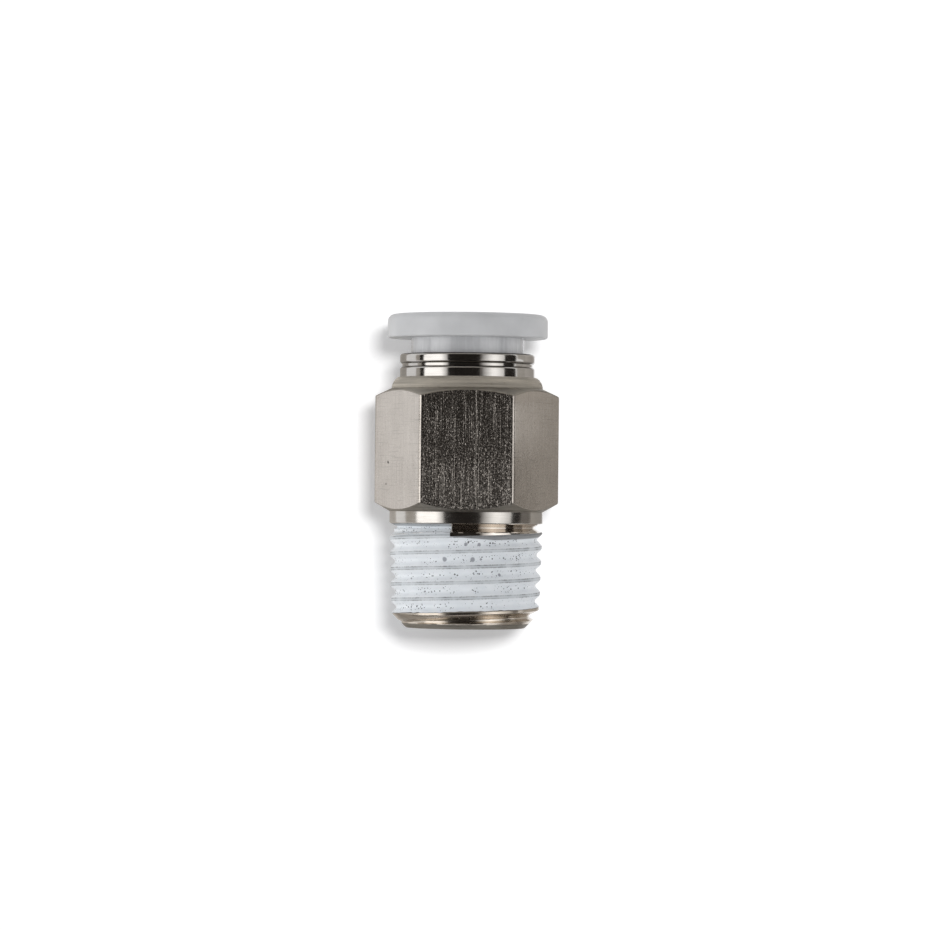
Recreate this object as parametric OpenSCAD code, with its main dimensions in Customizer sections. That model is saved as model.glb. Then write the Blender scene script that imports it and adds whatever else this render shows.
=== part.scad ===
// Straight push-to-connect tube fitting with a male taper pipe thread.
// The axis is Z. The thread end is at z = 0 and the tube goes in from above.
// All sizes are in millimetres.

/* [Tube] */
// Outside diameter of the tube
tube_d = 8; // [6:0.5:10]
// Radial room round the tube
tube_clearance = 0.1; // [0.05:0.01:0.2]
// Width of the ledge that stops the tube
stop_ledge = 1.1; // [0.6:0.05:1.6]
// Length of the plain pocket between the stop and the seal
pocket_len = 2.75; // [1.5:0.05:4]
// Chamfer where the passage opens at the thread end
passage_chamfer = 0.3; // [0.1:0.05:0.6]

/* [Thread] */
// Major diameter in the gauge plane
thread_d = 13.157; // [12:0.001:17]
// Distance from the thread end to the gauge plane
gauge_len = 6; // [4:0.1:9]
// Distance from crest to crest
thread_pitch = 1.337; // [1:0.001:1.6]
// Length over which the diameter grows by 1
thread_taper = 16; // [12:1:40]
// Length from the thread end to the relief groove
thread_len = 8.53; // [6:0.01:12]
// Height of the first crest above the thread end, on the +X side
crest_start = 0.4; // [0:0.05:1]
// Radial size of the chamfer at the thread end
end_chamfer = 1.2; // [1:0.05:1.6]
// Axial length of the relief groove's slope next to the thread
relief_rise = 0.28; // [0.2:0.02:0.6]
// Axial length of the relief groove's floor
relief_floor = 0.1; // [0.05:0.05:0.6]
// Axial length of the relief groove's slope next to the collar
relief_fall = 0.42; // [0.3:0.02:0.8]
// How much deeper the relief groove is than the thread
relief_extra = 0.02; // [0.01:0.01:0.2]

/* [Sealant] */
// Thickness of the coat in the thread's root
coat_root = 0.34; // [0.2:0.02:0.5]
// Where the coat's slope bends, as a share of the way from the root to the crest
coat_waist = 0.45; // [0.3:0.05:0.6]
// Bare length of thread groove before the relief, in turns
coat_setback = 0.12; // [0.1:0.02:0.5]
// Bare thread at the thread end, in turns from the first crest
coat_lead = 0.25; // [0:0.05:1]

/* [Body] */
// How far the collar stands above the thread's crests
collar_margin = 0.02; // [0.01:0.01:0.3]
// Height of the plain collar
collar_h = 0.78; // [0.4:0.02:2]
// Height of the hexagon
hex_h = 10.9; // [9.5:0.1:16]
// Wall between the chamber and a flat of the hexagon
hex_wall = 1.1; // [0.9:0.05:2]
// Radial distance from a flat to the start of the hexagon's chamfer
hex_chamfer = 0.35; // [0.1:0.05:0.5]
// Slope of the hexagon's chamfer
hex_chamfer_angle = 30; // [15:1:45]
// Height of the round shoulder
shoulder_h = 0.85; // [0.4:0.05:2]
// Wall of the round shoulder
shoulder_wall = 0.7; // [0.4:0.05:0.85]
// Radius of the shoulder's top edge
shoulder_round = 0.55; // [0.1:0.05:0.6]

/* [Seal] */
// Height of the gland that holds the seal
gland_h = 2.6; // [2:0.1:4]
// Width of the ledge between the gland and the chamber
gland_ledge = 0.4; // [0.2:0.05:0.6]
// How far the lip reaches into the tube
seal_squeeze = 0.2; // [0.1:0.05:0.3]
// Thickness of the seal's lip and heel
seal_lip_t = 0.5; // [0.4:0.05:0.6]
// Room between the seal and its gland
seal_fit = 0.03; // [0.02:0.01:0.1]
// Height of the ring above the seal
backup_h = 1.4; // [1.2:0.1:2]
// Radial room between the tube and that ring's bore
backup_room = 0.3; // [0.2:0.05:0.5]

/* [Chuck] */
// Thickness of the spring sheet
chuck_t = 0.3; // [0.15:0.05:0.4]
// Number of claws
claw_count = 10; // [6:1:14]
// Width of the cuts between the claws
claw_gap = 0.5; // [0.3:0.05:0.8]
// How far a claw's tip reaches into the tube
claw_bite = 0.15; // [0.05:0.05:0.3]
// Radial room between the tube and the root of the claws
claw_root = 0.9; // [0.7:0.05:1.1]
// Slope of the claws
claw_angle = 40; // [30:1:48]
// How far the collet pushes the claws when it is pressed
release_push = 0.2; // [0.1:0.05:0.3]

/* [Guide ring] */
// Wall of the ring
guide_wall = 0.87; // [0.7:0.01:1.4]
// Radial room between the ring and the collet
guide_clearance = 0.08; // [0.03:0.01:0.2]
// Height of the ring above the body
guide_proud = 2.1; // [1.6:0.05:4]
// Length of the ring inside the body
guide_seat = 5; // [4.6:0.1:8]
// Depth of the ledge that holds the collet, below the body's top
ledge_depth = 1.65; // [1:0.05:2]
// Distance from the ring's top to the middle of its outside groove
groove_drop = 1.07; // [0.7:0.05:1.2]
// Depth of the outside groove
groove_depth = 0.25; // [0.1:0.05:0.4]
// Width of the outside groove
groove_w = 0.56; // [0.3:0.02:0.8]
// Radius of the ring's top edge
guide_round = 0.25; // [0.1:0.05:0.35]
// Chamfer at the ring's lower end
guide_lead = 0.2; // [0.1:0.05:0.3]

/* [Collet] */
// Wall of the sleeve
collet_wall = 0.85; // [0.7:0.05:1.2]
// How far the foot stands out under the guide ring's ledge
foot_w = 0.35; // [0.2:0.05:0.4]
// Height of the foot
foot_h = 0.8; // [0.5:0.05:1]
// Radial room round the foot
foot_clearance = 0.1; // [0.05:0.01:0.15]
// Room under the ledge at rest
rest_gap = 0.02; // [0.01:0.01:0.1]
// Wall of the nose below the foot
nose_wall = 0.6; // [0.4:0.05:0.7]
// Number of cuts between the fingers
slot_count = 6; // [3:1:8]
// Width of the cuts
slot_w = 0.6; // [0.3:0.05:1]
// Length of the cuts from the nose
slot_len = 3.2; // [2:0.1:4]
// Height of the snap bead above the neck
bead_h = 0.12; // [0.06:0.02:0.3]
// Width of the snap bead
bead_w = 0.5; // [0.3:0.05:0.7]
// Distance from the collet's top to the middle of the bead
bead_drop = 0.6; // [0.4:0.05:0.8]

/* [Release button] */
// How far the button can be pressed
press_travel = 1.35; // [0.8:0.05:1.8]
// Room left above the guide ring when the button is pressed
stop_gap = 0.05; // [0.02:0.01:0.2]
// How far the flange stands out beyond the neck
flange_w = 2.05; // [1.4:0.05:4]
// Height of the flange
flange_h = 2.15; // [1.8:0.05:4]
// Radius of the flange's edges
flange_round = 0.5; // [0.1:0.05:0.8]
// Height of the rim over the collet's top
rim_h = 0.8; // [0.5:0.05:1]
// Radial room between the tube and the rim
rim_room = 0.2; // [0.1:0.05:0.4]
// Chamfer that leads the tube in
entry_chamfer = 0.45; // [0.2:0.05:0.5]
// Room between the turning button and the collet
turn_clearance = 0.05; // [0.02:0.01:0.1]

/* [Hidden] */
$fn = 96;

// Radii, from the tube outwards
tube_r = tube_d / 2;
collet_bore_r = tube_r + tube_clearance;
passage_r = collet_bore_r - stop_ledge;
neck_r = collet_bore_r + collet_wall;
foot_r = neck_r + foot_w;
guide_bore_r = neck_r + guide_clearance;
guide_chamber_r = foot_r + foot_clearance;
guide_r = guide_bore_r + guide_wall;
gland_r = guide_r - gland_ledge;
shoulder_r = guide_r + shoulder_wall;
hex_flat_r = guide_r + hex_wall;
hex_corner_r = hex_flat_r / cos(30);
flange_r = neck_r + flange_w;

// Heights, from the thread end upwards
relief_floor_z = thread_len + relief_rise;
relief_end_z = relief_floor_z + relief_floor;
collar_z = relief_end_z + relief_fall;
hex_z = collar_z + collar_h;
shoulder_z = hex_z + hex_h;
body_top_z = shoulder_z + shoulder_h;
guide_top_z = body_top_z + guide_proud;
flange_z = guide_top_z + stop_gap + press_travel;
top_z = flange_z + flange_h;
collet_top_z = top_z - rim_h;

// Heights inside the body, from its top downwards
guide_end_z = body_top_z - guide_seat;
chuck_z = guide_end_z - chuck_t;
chamber_z = chuck_z - backup_h;
gland_z = chamber_z - gland_h;
stop_z = gland_z - pocket_len;

// Thread form: 55 degrees with flats a sixth of the pitch wide at crest and root
thread_depth = 0.640327 * thread_pitch;
thread_flat = thread_pitch / 6;
flank_slope = tan(27.5);
cut_over = 0.4;
thread_steps = 30;

function crest_r(z) = thread_d / 2 + (z - gauge_len) / (2 * thread_taper);
relief_r = crest_r(thread_len) - thread_depth - relief_extra;
end_r = crest_r(0) - end_chamfer;
collar_r = crest_r(collar_z) + collar_margin;

// Middle of the thread's groove after a number of turns counted from +X
function groove_z(turn) = crest_start + (turn + 0.5) * thread_pitch;
function turn_at(z) = (z - crest_start) / thread_pitch - 0.5;

// The groove starts below the thread end and runs out in the relief
run_out = 0.2;
turn_relief = turn_at(relief_floor_z + relief_floor / 2);
turn_first = turn_at(-thread_pitch);
turn_last = turn_relief + run_out / 2;
coat_last = turn_relief - coat_setback;

// Points of a quarter circle about c, from angle a to angle b
function arc(c, r, a, b, n = 8) =
    [for (i = [0:n]) c + r * [cos(a + (b - a) * i / n), sin(a + (b - a) * i / n)]];

// Closed solid swept through rows of points, with triangles that close its ends
module sweep(rows, cap) {
    n = len(rows[0]);
    last = n * (len(rows) - 1);
    sides = [for (i = [0:len(rows) - 2], k = [0:n - 1])
        let (a = n * i + k, b = n * i + (k + 1) % n) each [[a, a + n, b], [b, a + n, b + n]]];
    far = [for (t = cap) [last + t[2], last + t[1], last + t[0]]];
    polyhedron(points = [for (r = rows) each r], faces = concat(sides, cap, far), convexity = 10);
}

// A row of points at a number of turns, from an outline of heights and distances from the crest
function row(turn, outline) = [for (p = outline)
    let (z = groove_z(turn) + p[0], r = crest_r(z) + p[1])
        [r * cos(360 * turn), r * sin(360 * turn), z]];

// Helical cutter for the thread's groove
module thread_groove() {
    // Share of the full depth, which fades out in the relief
    function deep(turn) = thread_depth * max(0, min(1, (turn_last - turn) / run_out));
    function outline(turn) = let (d = deep(turn), w = thread_flat / 2)
        [[-w, -d], [w, -d], [w + (d + cut_over) * flank_slope, cut_over],
         [-w - (d + cut_over) * flank_slope, cut_over]];
    sweep([for (i = [floor(turn_first * thread_steps):round(turn_last * thread_steps)])
        row(i / thread_steps, outline(i / thread_steps))], [[0, 1, 2], [0, 2, 3]]);
}

// Turned outside of the body without its hexagon
module turned_blank() {
    chamfer_z = end_chamfer / (1 - 1 / (2 * thread_taper));
    edge = min(shoulder_round, shoulder_h, shoulder_wall);
    core_r = min(collar_r, shoulder_r) - shoulder_wall / 2;
    rotate_extrude() polygon(concat([
        [0, 0],
        [end_r, 0],
        [crest_r(chamfer_z), chamfer_z],
        [crest_r(thread_len), thread_len],
        [relief_r, relief_floor_z],
        [relief_r, relief_end_z],
        [collar_r, collar_z],
        [collar_r, hex_z + collar_h / 2],
        [core_r, hex_z + collar_h / 2],
        [core_r, shoulder_z - shoulder_h / 2],
        [shoulder_r, shoulder_z - shoulder_h / 2]],
        arc([shoulder_r - edge, body_top_z - edge], edge, 0, 90),
        [[0, body_top_z]]));
}

// Hexagon bar with both ends chamfered on the lathe
module hexagon() {
    start_r = hex_flat_r - hex_chamfer;
    wide_r = hex_corner_r + hex_chamfer;
    drop = (wide_r - start_r) * tan(hex_chamfer_angle);
    intersection() {
        translate([0, 0, hex_z]) cylinder(r = hex_corner_r, h = hex_h, $fn = 6);
        rotate_extrude() polygon([
            [0, hex_z],
            [start_r, hex_z],
            [wide_r, hex_z + drop],
            [wide_r, shoulder_z - drop],
            [start_r, shoulder_z],
            [0, shoulder_z]]);
    }
}

// Stepped bores: passage, tube pocket, seal gland and chamber
module bores() {
    past = 1;
    rotate_extrude() polygon([
        [0, -past],
        [passage_r + passage_chamfer + past, -past],
        [passage_r, passage_chamfer],
        [passage_r, stop_z],
        [collet_bore_r, stop_z],
        [collet_bore_r, gland_z],
        [gland_r, gland_z],
        [gland_r, chamber_z],
        [guide_r, chamber_z],
        [guide_r, body_top_z + past],
        [0, body_top_z + past]]);
}

module body() {
    color([0.71, 0.69, 0.66]) difference() {
        union() {
            turned_blank();
            hexagon();
        }
        thread_groove();
        bores();
    }
}

// Coat that lines the thread's groove from crest to crest
module thread_sealant() {
    // It stays a hair off the metal and off the slope under the collar
    skin = 0.02;
    w = thread_flat / 2;
    edge = thread_pitch / 2 - w;
    floor_r = skin - thread_depth;
    dip = coat_root - thread_depth;
    outline = [[-edge, skin], [-w, floor_r], [w, floor_r], [edge, skin],
        [edge * coat_waist, dip * (1 - coat_waist / 2)], [0, dip],
        [-edge * coat_waist, dip * (1 - coat_waist / 2)]];
    cap = [[0, 1, 6], [6, 1, 5], [5, 1, 2], [5, 2, 4], [4, 2, 3]];
    color([0.88, 0.9, 0.92]) difference() {
        sweep([for (i = [round(coat_lead * thread_steps):round(coat_last * thread_steps)])
            row(i / thread_steps, outline)], cap);
        translate([0, 0, relief_end_z]) cylinder(r = 2 * collar_r, h = 2 * thread_pitch);
    }
}

// Lip seal with a heel above and an open groove below
module tube_seal() {
    low = gland_z + seal_fit;
    high = chamber_z - seal_fit;
    out_r = gland_r - seal_fit;
    lip_r = tube_r - seal_squeeze;
    heel_r = tube_r + seal_squeeze;
    groove_r = (lip_r + out_r) / 2;
    groove_top = high - 2 * seal_lip_t;
    color([0.12, 0.12, 0.13]) rotate_extrude() polygon([
        [lip_r + seal_lip_t / 2, low],
        [lip_r + seal_lip_t, low],
        [groove_r, groove_top],
        [out_r - seal_lip_t, low],
        [out_r, low],
        [out_r, high],
        [heel_r + seal_lip_t / 2, high],
        [heel_r, high - seal_lip_t / 2],
        [heel_r, groove_top],
        [lip_r, low + seal_lip_t]]);
}

// Ring over the seal, coned so that the claws can swing
module seal_backup_ring() {
    out_r = guide_r - seal_fit;
    claw_r = tube_r + claw_root + chuck_t;
    color([0.8, 0.8, 0.78]) rotate_extrude() polygon([
        [tube_r + backup_room, chamber_z],
        [out_r, chamber_z],
        [out_r, chuck_z],
        [claw_r, chuck_z]]);
}

// Height of the claws' upper face at a radius
function claw_z(r) = guide_end_z - (tube_r + claw_root - r) * tan(claw_angle);

// Spring ring with claws that slope in and down
module chuck() {
    root_r = tube_r + claw_root;
    tip_r = tube_r - claw_bite;
    out_r = guide_r - seal_fit;
    color([0.75, 0.76, 0.78]) difference() {
        rotate_extrude() polygon([
            [tip_r, claw_z(tip_r)],
            [tip_r + chuck_t * sin(claw_angle), claw_z(tip_r) - chuck_t * cos(claw_angle)],
            [root_r + chuck_t * tan(claw_angle / 2), chuck_z],
            [out_r, chuck_z],
            [out_r, guide_end_z],
            [root_r, guide_end_z]]);
        for (i = [0:claw_count - 1])
            rotate(360 * i / claw_count)
                translate([0, -claw_gap / 2, claw_z(0)])
                    cube([root_r, claw_gap, guide_end_z - claw_z(0) + chuck_t]);
    }
}

// Ring pressed into the body, which guides and keeps the collet
module guide_ring() {
    groove_z = guide_top_z - groove_drop;
    ledge_z = body_top_z - ledge_depth;
    edge = min(guide_round, guide_wall / 2);
    color([0.8, 0.79, 0.77]) rotate_extrude() polygon(concat([
        [guide_chamber_r, guide_end_z],
        [guide_r - guide_lead, guide_end_z],
        [guide_r, guide_end_z + guide_lead],
        [guide_r, groove_z - groove_w / 2],
        [guide_r - groove_depth, groove_z],
        [guide_r, groove_z + groove_w / 2]],
        arc([guide_r - edge, guide_top_z - edge], edge, 0, 90),
        [[guide_bore_r, guide_top_z],
        [guide_bore_r, ledge_z],
        [guide_chamber_r, ledge_z]]));
}

// Sleeve that opens the claws, with slotted fingers, a foot and a snap bead
module collet() {
    nose_z = claw_z(collet_bore_r) + press_travel - release_push;
    nose_r = collet_bore_r + nose_wall;
    nose_rise = nose_wall * tan(claw_angle);
    foot_z = body_top_z - ledge_depth - rest_gap;
    bead_z = collet_top_z - bead_drop;
    color([0.93, 0.93, 0.92]) difference() {
        rotate_extrude() polygon([
            [collet_bore_r, nose_z],
            [nose_r, nose_z + nose_rise],
            [nose_r, foot_z - foot_h - foot_w],
            [foot_r, foot_z - foot_h],
            [foot_r, foot_z],
            [neck_r, foot_z],
            [neck_r, bead_z - bead_w / 2],
            [neck_r + bead_h, bead_z - bead_w / 4],
            [neck_r + bead_h, bead_z],
            [neck_r, bead_z + bead_w / 2],
            [neck_r, collet_top_z],
            [collet_bore_r + tube_clearance, collet_top_z],
            [collet_bore_r, collet_top_z - tube_clearance]]);
        for (i = [0:slot_count - 1])
            rotate(360 * i / slot_count)
                translate([0, -slot_w / 2, nose_z - slot_len])
                    cube([2 * foot_r, slot_w, 2 * slot_len]);
    }
}

// Flange that snaps over the collet's top and turns on it
module release_button() {
    ride_r = neck_r + turn_clearance;
    rim_r = tube_r + rim_room;
    rim_z = collet_top_z + turn_clearance;
    bead_z = collet_top_z - bead_drop;
    edge = min(flange_round, flange_h / 2, flange_w / 2);
    color([0.74, 0.75, 0.76]) rotate_extrude() polygon(concat(
        [[ride_r, flange_z]],
        arc([flange_r - edge, flange_z + edge], edge, -90, 0),
        arc([flange_r - edge, top_z - edge], edge, 0, 90), [
        [rim_r + entry_chamfer, top_z],
        [rim_r, top_z - entry_chamfer],
        [rim_r, rim_z],
        [ride_r, rim_z],
        [ride_r, bead_z + bead_w / 2 + turn_clearance],
        [ride_r + bead_h, bead_z + turn_clearance],
        [ride_r + bead_h, bead_z - bead_w / 4 - turn_clearance],
        [ride_r, bead_z - bead_w / 2 - turn_clearance]]));
}

body();
thread_sealant();
tube_seal();
seal_backup_ring();
chuck();
guide_ring();
collet();
release_button();
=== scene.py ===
import math

import bpy
import numpy as np
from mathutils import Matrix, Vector, noise


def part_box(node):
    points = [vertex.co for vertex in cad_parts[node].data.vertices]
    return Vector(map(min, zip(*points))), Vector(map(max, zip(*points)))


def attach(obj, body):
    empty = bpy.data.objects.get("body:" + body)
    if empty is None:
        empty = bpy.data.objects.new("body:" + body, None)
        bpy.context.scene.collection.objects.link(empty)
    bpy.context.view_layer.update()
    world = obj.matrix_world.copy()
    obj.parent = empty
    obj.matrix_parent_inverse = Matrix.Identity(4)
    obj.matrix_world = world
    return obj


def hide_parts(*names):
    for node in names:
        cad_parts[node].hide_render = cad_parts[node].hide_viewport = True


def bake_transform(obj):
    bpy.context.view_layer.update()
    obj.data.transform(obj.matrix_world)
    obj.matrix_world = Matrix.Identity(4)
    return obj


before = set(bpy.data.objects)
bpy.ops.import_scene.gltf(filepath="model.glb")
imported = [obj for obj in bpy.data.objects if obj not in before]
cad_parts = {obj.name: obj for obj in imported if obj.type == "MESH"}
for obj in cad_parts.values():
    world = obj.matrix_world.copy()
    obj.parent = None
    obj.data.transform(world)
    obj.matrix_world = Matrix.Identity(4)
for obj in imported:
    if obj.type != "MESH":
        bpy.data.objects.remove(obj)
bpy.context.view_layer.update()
scene = bpy.context.scene

# Body: one length of hexagonal brass bar, turned, bored and threaded on a lathe, then nickel plated.
# The flats keep the drawing streaks of the bar, the collar is turned bright and the shoulder and
# chamfers are left matt. The other pieces go in from above.
MM = 0.001
TURN = 2 * math.pi


def span(node_name):
    """Lowest and highest corner of a CAD node, in millimetres."""
    low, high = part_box(node_name)
    return low / MM, high / MM


flat_r = span("body")[1].y
body_top = span("body")[1].z
guide_low, guide_high = span("guide_ring")
guide_r = guide_high.x
seal_low = span("tube_seal")[0]

thread_pitch = 1.337
thread_depth = 0.640327 * thread_pitch
thread_flat = thread_pitch / 6
flank_slope = math.tan(math.radians(27.5))
gauge_r = 13.157 / 2
gauge_len = 6
crest_start = 0.4
end_chamfer = 1.2
thread_len = 8.36
relief_floor_z = 8.74
relief_end_z = 8.8
relief_depth = 0.7
collar_z = 9.15
collar_r = 6.703
hex_z = 10.11
shoulder_z = 20.87
shoulder_r = 6.6
shoulder_wide = 0.57
shoulder_high = 0.83
shoulder_power = 1.33
ridge_pitch = 0.2
ridge_depth = 0.016
chamfer_start_r = 6.65
chamfer_rise = math.tan(math.radians(30))
top_rise = math.tan(math.radians(25.5))
passage_r = 3.0
passage_chamfer = 0.3
pocket_r = 4.1
stop_z = 9.81
gland_r = 5.5
groove_last = 5.85
groove_run_out = 0.45
root_round = 0.1
crest_round = 0.05
blank_round = 0.03


def crest_r(z):
    """Radius of the thread's crests at a height: a taper of one in sixteen on the diameter."""
    return gauge_r + (z - gauge_len) / 32


def soft_min(a, b, width):
    """The smaller of two heights, blended over a width."""
    share = np.clip(0.5 + 0.5 * (b - a) / width, 0, 1)
    return b * (1 - share) + a * share - width * share * (1 - share)


def soft_max(a, b, width):
    """The larger of two heights, blended over a width."""
    return -soft_min(-a, -b, width)


relief_r = crest_r(thread_len) - relief_depth
end_r = crest_r(0) - end_chamfer
chamfer_z = end_chamfer * 32 / 31


def blank_r(z):
    """Radius of the turned end before the thread is cut, with the relief below the collar."""
    return np.interp(
        z,
        [0, chamfer_z, thread_len, relief_floor_z, relief_end_z, collar_z],
        [end_r, crest_r(chamfer_z), crest_r(thread_len), relief_r, relief_r, collar_r],
    )


def thread_surface(angle, z):
    """Radius of the threaded end at an angle and a height."""
    phase = (z - crest_start) / thread_pitch - angle / TURN
    turn = angle / TURN + np.floor(phase)
    depth = thread_depth * np.clip((groove_last - turn) / groove_run_out, 0, 1)
    away = np.abs(phase - np.floor(phase) - 0.5) * thread_pitch
    flank = (away - thread_flat / 2) / flank_slope - depth
    cut = crest_r(z) + soft_min(soft_max(flank, -depth, root_round), 0, crest_round)
    return soft_min(blank_r(z), cut, blank_round)


# Angles of the mesh's columns, close together on the six rounded corners
corner_round = 0.34
corner_columns = 9
flat_columns = 44
corner_centre = (flat_r - corner_round) / math.cos(math.pi / 6)
corner_turn = np.radians(np.linspace(-30, 30, corner_columns))
corner_angles = np.arctan2(
    corner_round * np.sin(corner_turn), corner_centre + corner_round * np.cos(corner_turn)
)
flat_angles = np.linspace(corner_angles[-1], math.pi / 3 + corner_angles[0], flat_columns)[1:-1]
sector = np.concatenate([corner_angles, flat_angles])
columns = np.concatenate([sector + math.pi / 3 * side for side in range(6)])

off_corner = np.abs((columns + math.pi / 6) % (math.pi / 3) - math.pi / 6)
on_arc = np.sqrt(np.maximum(corner_round**2 - (corner_centre * np.sin(off_corner)) ** 2, 0))
hex_r = np.where(
    off_corner < corner_angles[-1],
    corner_centre * np.cos(off_corner) + on_arc,
    flat_r / np.cos(math.pi / 6 - off_corner),
)
low_edge = hex_z + (hex_r - chamfer_start_r) * chamfer_rise
high_edge = shoulder_z - (hex_r - chamfer_start_r) * top_rise

# Rows of the mesh from the relief up the outside, then down the bores to the thread end.
# Each holds a radius, a height and the finish of the strip that follows it.
THREAD, BRIGHT, MATT, FLATS, BORE, SHOULDER, RELIEF = range(7)
edge = 0.08
edge_in = edge * math.tan(math.radians(15))
edge_along = edge * math.cos(math.pi / 6)
edge_across = edge_in * math.cos(math.pi / 6)
collar_edge = [(0.06, -0.03), (0.015, 0.005), (0, 0.05)]
flat_rows = 9
rows = [(relief_r, relief_end_z, RELIEF)]
rows += [(collar_r - inward, collar_z + up, BRIGHT) for inward, up in collar_edge]
rows += [
    (collar_r, hex_z + (collar_r - chamfer_start_r) * chamfer_rise, MATT),
    (hex_r - edge_along, low_edge - edge / 2, MATT),
    (hex_r - edge_across, low_edge + edge_in / 2, FLATS),
]
for share in np.linspace(0, 1, flat_rows):
    rows.append((hex_r, (low_edge + edge) * (1 - share) + (high_edge - edge) * share, FLATS))
rows[-1] = (*rows[-1][:2], MATT)
shoulder_foot = 0.02
shoulder_rows = 42
rows += [
    (hex_r - edge_across, high_edge - edge_in / 2, MATT),
    (hex_r - edge_along, high_edge + edge / 2, MATT),
    (chamfer_start_r, shoulder_z, SHOULDER),
    (shoulder_r, shoulder_z + shoulder_foot, SHOULDER),
]
for turned in np.radians(np.linspace(3, 90, shoulder_rows)):
    z = body_top - shoulder_high * (1 - math.sin(turned) ** shoulder_power)
    ridge = ridge_depth * math.sin(TURN * z / ridge_pitch) * math.sin(2 * turned)
    r = shoulder_r - shoulder_wide * (1 - max(math.cos(turned), 0) ** shoulder_power)
    rows.append((r + ridge, z, SHOULDER))
seat_play = 0.005
gland_play = 0.03
end_edge = 0.03
seat_r = guide_r + seat_play
chamber_z = span("seal_backup_ring")[0].z
gland_z = seal_low.z - gland_play
rows += [
    (seat_r, body_top, BORE),
    (seat_r, chamber_z, BORE),
    (gland_r, chamber_z, BORE),
    (gland_r, gland_z, BORE),
    (pocket_r, gland_z, BORE),
    (pocket_r, stop_z, BORE),
    (passage_r, stop_z, BORE),
    (passage_r, passage_chamfer, BORE),
    (passage_r + passage_chamfer, 0, MATT),
    (end_r - end_edge, 0, MATT),
]

# Helical rows of the thread, which end on level loops below and above
rows_per_turn = 26
thread_low = end_edge
rim_z = 0.42
clean_z = 7.9
first_row = -2 * rows_per_turn
last_row = math.ceil((relief_floor_z - crest_start) / thread_pitch * rows_per_turn) + 1
count = len(columns)
low_loop = list(range(count))
high_loop = list(range(count, 2 * count))
angles = [*columns, *columns]
heights = [thread_low] * count + [relief_floor_z] * count
helix = {}
for row in range(first_row, last_row + rows_per_turn + 2):
    for column, angle in enumerate(columns):
        z = crest_start + (row / rows_per_turn + angle / TURN) * thread_pitch
        if z <= thread_low:
            helix[row, column] = low_loop[column]
        elif z >= relief_floor_z:
            helix[row, column] = high_loop[column]
        else:
            helix[row, column] = len(angles)
            angles.append(angle)
            heights.append(z)
    helix[row - rows_per_turn, count] = helix[row, 0]

faces = []
finishes = []
for row in range(first_row, last_row + 1):
    for column in range(count):
        ring = [
            helix[row, column],
            helix[row, column + 1],
            helix[row + 1, column + 1],
            helix[row + 1, column],
        ]
        corners = [p for i, p in enumerate(ring) if p != ring[i - 1]]
        if len(set(corners)) > 2:
            level = sum(heights[p] for p in corners) / len(corners)
            faces.append(corners)
            finishes.append(MATT if level < rim_z else RELIEF if level > clean_z else THREAD)

angles = np.array(angles)
heights = np.array(heights)
radii = thread_surface(angles, heights)
points = [np.stack([radii * np.cos(angles), radii * np.sin(angles), heights], axis=1)]
loops = [high_loop]
used = len(angles)
for r, z, finish in rows:
    r, z = np.broadcast_to(r, count), np.broadcast_to(z, count)
    points.append(np.stack([r * np.cos(columns), r * np.sin(columns), z], axis=1))
    loops.append(list(range(used, used + count)))
    used += count
loops.append(low_loop)
strip_finishes = [RELIEF] + [row[2] for row in rows]
for below, above, finish in zip(loops, loops[1:], strip_finishes):
    for column in range(count):
        after = (column + 1) % count
        faces.append([below[column], below[after], above[after], above[column]])
        finishes.append(finish)


def make_piece(name, points, faces, sharp_angle=35):
    """A mesh object from points in millimetres, smooth but for edges sharper than the angle."""
    mesh = bpy.data.meshes.new(name)
    mesh.from_pydata((np.asarray(points) * MM).tolist(), [], faces)
    mesh.shade_smooth()
    mesh.set_sharp_from_angle(angle=math.radians(sharp_angle))
    piece = bpy.data.objects.new(name, mesh)
    scene.collection.objects.link(piece)
    return piece


turned_body = make_piece("turned_body", np.concatenate(points), faces)


def place(tree, kind, inputs=None, **settings):
    """A new node with its settings and inputs, where an input is a value or another node's output."""
    made = tree.nodes.new(kind)
    for key, value in settings.items():
        setattr(made, key, value)
    for key, value in (inputs or {}).items():
        if isinstance(value, bpy.types.NodeSocket):
            tree.links.new(value, made.inputs[key])
        else:
            made.inputs[key].default_value = value
    return made


def new_material(name, **uniform):
    """A material with its node tree and its shader, whose uniform values are set on the sockets."""
    material = bpy.data.materials.new(name)
    material.use_nodes = True
    shader = material.node_tree.nodes["Principled BSDF"]
    for label, value in uniform.items():
        shader.inputs[label.replace("_", " ")].default_value = value
    return material, material.node_tree, shader


def new_group(name, inputs, outputs):
    """An empty shader node group with its sockets, as (group, its inputs, its outputs)."""
    group = bpy.data.node_groups.new(name, "ShaderNodeTree")
    for label, kind, value in inputs:
        socket = group.interface.new_socket(label, in_out="INPUT", socket_type=kind)
        socket.default_value = value
    for label, kind in outputs:
        group.interface.new_socket(label, in_out="OUTPUT", socket_type=kind)
    entry = group.nodes.new("NodeGroupInput")
    way_out = group.nodes.new("NodeGroupOutput")
    return group, entry.outputs, way_out.inputs


def math_node(tree, operation, first, second=0.0):
    """One sum, product or other operation on two values."""
    return place(tree, "ShaderNodeMath", {0: first, 1: second}, operation=operation).outputs[0]


def tone(tree, factor, dark, light):
    """A colour between two, by a factor."""
    mixed = place(
        tree, "ShaderNodeMix", {"Factor": factor, "A": (*dark, 1), "B": (*light, 1)}, data_type="RGBA"
    )
    return mixed.outputs["Result"]


def millimetres(tree):
    """The place on the piece, in millimetres."""
    here = place(tree, "ShaderNodeTexCoord").outputs["Object"]
    return place(tree, "ShaderNodeVectorMath", {0: here, "Scale": 1 / MM}, operation="SCALE").outputs[0]


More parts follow.
